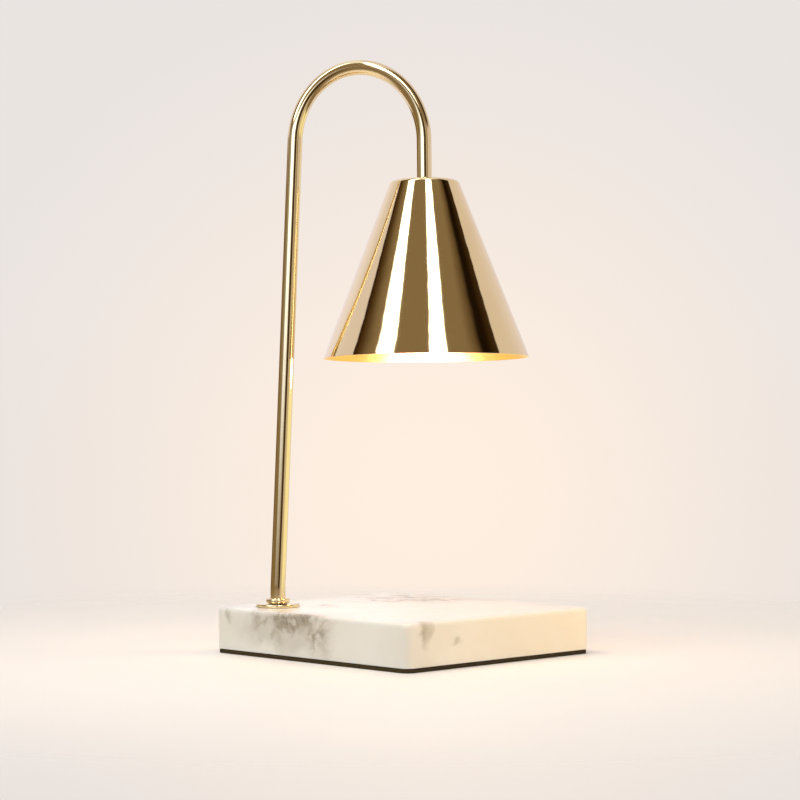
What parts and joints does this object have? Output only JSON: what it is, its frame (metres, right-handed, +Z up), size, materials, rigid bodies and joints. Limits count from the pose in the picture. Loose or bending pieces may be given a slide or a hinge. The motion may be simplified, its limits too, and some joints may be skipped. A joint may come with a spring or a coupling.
{
  "type": "candle warmer lamp",
  "caption": "Table lamp that melts a scented candle from above: square marble base, bent brass tube arm, open conical shade and a twist-lock reflector bulb.",
  "frame": {"origin": "centre of the foot pad's underside, on the surface the lamp stands on", "axes": "+Z up; +X from the pole towards the shade, along the base's diagonal; the base's sides stand at 45 degrees to X and Y"},
  "size_m": [0.1924, 0.1924, 0.3117],
  "materials": {
    "marble": "polished white marble with soft grey-brown veins",
    "pad": "matt dark foam rubber",
    "polished_brass": "polished, lacquered",
    "zinc_steel": "zinc plated",
    "black_plastic": "moulded nylon",
    "white_plastic": "moulded nylon",
    "ceramic": "unglazed steatite",
    "spring_bronze": "rolled phosphor bronze",
    "brown_lead": "silicone insulation",
    "blue_lead": "silicone insulation",
    "mirrored_glass": "aluminised pressed glass",
    "lens_glass": "clear glass, lit from behind",
    "quartz": "clear quartz",
    "tungsten": "drawn wire",
    "nickel_pin": "nickel plated"
  },
  "bodies": {
    "lamp": {"marble_base": "marble", "foot_pad": "pad", "cord_bushing": "black_plastic", "pole_flange": "polished_brass", "pole_collar": "polished_brass", "pole_stud": "zinc_steel", "pole_washer": "zinc_steel", "pole_lock_washer": "zinc_steel", "pole_nut": "zinc_steel", "arm_tube": "polished_brass", "shade": "polished_brass", "shade_stud": "zinc_steel", "shade_washer": "zinc_steel", "shade_lock_washer": "zinc_steel", "shade_nut": "zinc_steel", "holder_bracket": "zinc_steel", "holder_cover": "ceramic", "lampholder": "ceramic", "contact_line": "spring_bronze", "contact_neutral": "spring_bronze", "holder_screw_left": "zinc_steel", "holder_screw_right": "zinc_steel", "lead_line": "brown_lead", "lead_neutral": "blue_lead", "crimp_line": "white_plastic", "crimp_neutral": "white_plastic"},
    "bulb": {"bulb_base": "ceramic", "bulb_reflector": "mirrored_glass", "bulb_lens": "lens_glass", "bulb_capsule": "quartz", "bulb_filament": "tungsten", "bulb_pin_line": "nickel_pin", "bulb_pin_neutral": "nickel_pin"}
  },
  "joints": [
    {"name": "bulb_twist", "type": "hinge", "parent": "lamp", "child": "bulb", "pos_m": [0.01178, 0.00748, 0.21504], "axis": [0.0096, -0.0297, -0.9995], "range_deg": [0, 27]}
  ]
}
